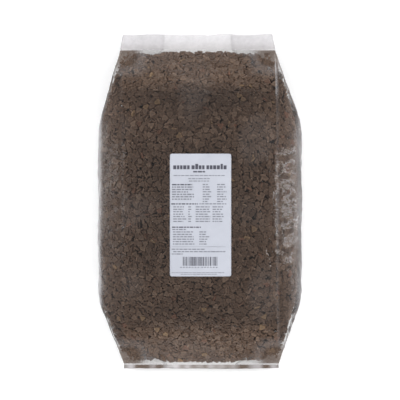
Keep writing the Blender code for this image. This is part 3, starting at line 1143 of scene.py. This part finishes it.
def title_line(bold, rng):
    """The bold heading, as three rows of plain solid blocks."""
    at = 0.055
    for blocks in (5, 4, 6):
        for _ in range(blocks):
            width = rng.uniform(0.037, 0.055)
            tall = rng.choice((0.032, 0.032, 0.044))
            bold.block(at, 0.127 - tall, width, tall)
            at += width + 0.0115
        at += 0.020


def stripes(bold, rng, left, right, top, height):
    """Upright stripes of made-up widths, as on a bar code."""
    at = left
    while at < right:
        width = rng.choice((0.006, 0.006, 0.011, 0.017))
        bold.block(at, top, width, height)
        at += width + rng.choice((0.006, 0.009, 0.014))


def print_tree():
    """Geometry Nodes that lay a thin block on every point, as long and as wide as the point says."""
    tree, given, result = new_tree("print_on_points", "Ink Thickness", "Ink Finish")
    nodes, links = tree.nodes, tree.links
    block = nodes.new("GeometryNodeMeshCube")
    block.inputs["Size"].default_value = (1, 1, 1)
    place = nodes.new("GeometryNodeInstanceOnPoints")
    parts = nodes.new("ShaderNodeSeparateXYZ")
    whole = nodes.new("ShaderNodeCombineXYZ")
    links.new(given.outputs["Geometry"], place.inputs["Points"])
    links.new(block.outputs["Mesh"], place.inputs["Instance"])
    links.new(stored_value(tree, "extent", "FLOAT_VECTOR"), parts.inputs[0])
    links.new(parts.outputs["X"], whole.inputs["X"])
    links.new(parts.outputs["Y"], whole.inputs["Y"])
    links.new(given.outputs["Ink Thickness"], whole.inputs["Z"])
    links.new(whole.outputs[0], place.inputs["Scale"])
    links.new(stored_value(tree, "lean", "FLOAT_VECTOR"), place.inputs["Rotation"])
    finish_tree(tree, place.outputs["Instances"], given.outputs["Ink Finish"], result)
    return tree


def build_print(name, marks, tree, material):
    """The marks as thin blocks of ink on the label, each leaning with the paper under it."""
    marks = np.array(marks)
    left = LABEL_MIDDLE[0] - LABEL_WIDTH / 2
    top = LABEL_MIDDLE[1] + LABEL_LENGTH / 2
    width, height = marks[:, 2] * LABEL_WIDTH, marks[:, 3] * LABEL_LENGTH
    x = left + marks[:, 0] * LABEL_WIDTH + width / 2
    y = top - marks[:, 1] * LABEL_LENGTH - height / 2
    z = label_level(x, y)
    reach = 0.001
    lean_x = np.arctan2(label_level(x, y + reach) - label_level(x, y - reach), 2 * reach)
    lean_y = -np.arctan2(label_level(x + reach, y) - label_level(x - reach, y), 2 * reach)
    points = new_mesh_object(name + "_points", np.stack([x, y, z + INK_LIFT], axis=1), [])
    store(points.data, "extent", np.stack([width, height, height * 0], axis=1), "FLOAT_VECTOR")
    store(points.data, "lean", np.stack([lean_x, lean_y, lean_x * 0], axis=1), "FLOAT_VECTOR")
    return made_real(name, points, tree, {"Ink Thickness": INK_THICKNESS, "Ink Finish": material})


# ---- The studio ----

FLOOR_LEVEL = -0.0003
CAMERA_HEIGHT = 6.0
CAMERA_Y = 0.0030
CAMERA_LENS = 285


def area_light(name, at, towards, size, power, tint=(1, 1, 1)):
    light = bpy.data.lights.new(name, "AREA")
    light.shape = "RECTANGLE"
    light.size, light.size_y = size
    light.energy = power
    light.color = tint
    lamp = bpy.data.objects.new(name, light)
    lamp.location = at
    lamp.rotation_euler = (Vector(towards) - Vector(at)).to_track_quat("-Z", "Y").to_euler()
    bpy.context.scene.collection.objects.link(lamp)
    return lamp


def build_studio():
    """A pale floor, four soft boxes that the film doesn't mirror, and two low strips that it does."""
    scene = bpy.context.scene
    middle = (0, 0, FLOOR_LEVEL)
    bpy.ops.mesh.primitive_grid_add(x_subdivisions=8, y_subdivisions=8, size=9.0, location=middle)
    floor = bpy.context.object
    floor.name = "studio_floor"
    floor.data.materials.append(floor_finish())
    world = bpy.data.worlds.new("soft_room")
    world.use_nodes = True
    world.node_tree.nodes["Background"].inputs["Color"].default_value = (0.92, 0.95, 1.0, 1.0)
    world.node_tree.nodes["Background"].inputs["Strength"].default_value = 0.30
    scene.world = world
    for name, at, size, power in (
        ("left_softbox", (-1.3, 0.3, 1.2), (0.9, 1.6), 17),
        ("right_softbox", (1.3, 0.2, 1.2), (0.9, 1.6), 18),
        ("head_softbox", (0.0, 1.5, 1.4), (1.6, 0.8), 8.5),
        ("foot_softbox", (0.0, -1.5, 1.4), (1.6, 0.8), 16),
    ):
        area_light(name, at, (0, 0, 0.05), size, power).visible_glossy = False
    area_light("left_strip", (-1.5, 0.1, 0.20), (0, 0, 0.10), (0.12, 1.1), 0.9)
    area_light("right_strip", (1.5, 0.0, 0.22), (0, 0, 0.10), (0.16, 1.1), 3.2)
    scene.view_settings.view_transform = "Standard"
    scene.cycles.transparent_max_bounces = 24


def build_camera():
    """Straight above the bag, with the header at the top of the view."""
    camera = bpy.data.cameras.new("overhead")
    camera.lens = CAMERA_LENS
    camera.sensor_width = 36
    camera.clip_end = 20
    eye = bpy.data.objects.new("overhead", camera)
    eye.location = (0.0, CAMERA_Y, CAMERA_HEIGHT)
    eye.rotation_euler = (0, 0, 0)
    bpy.context.scene.collection.objects.link(eye)
    bpy.context.scene.camera = eye


def main():
    build_camera()
    build_studio()
    film = build_film(*film_surface(), film_finish())
    kibble = build_kibble(Hollow(), kibble_finish())
    label = build_label(paper_finish())
    bold, fine = label_print()
    tree = print_tree()
    prints = [
        build_print("label_bold_print", bold, tree, ink_finish("ink_bold", (0.075, 0.075, 0.095))),
        build_print("label_fine_print", fine, tree, ink_finish("ink_fine", (0.20, 0.205, 0.235))),
    ]
    for pieces, slot, node in (
        ([film], "clear_film", "film_bag"),
        (kibble, "kibble", "kibble_heap"),
        ([label, *prints], "label_paper", "label"),
    ):
        for piece in pieces:
            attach(piece, "root")
            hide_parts(node)


main()
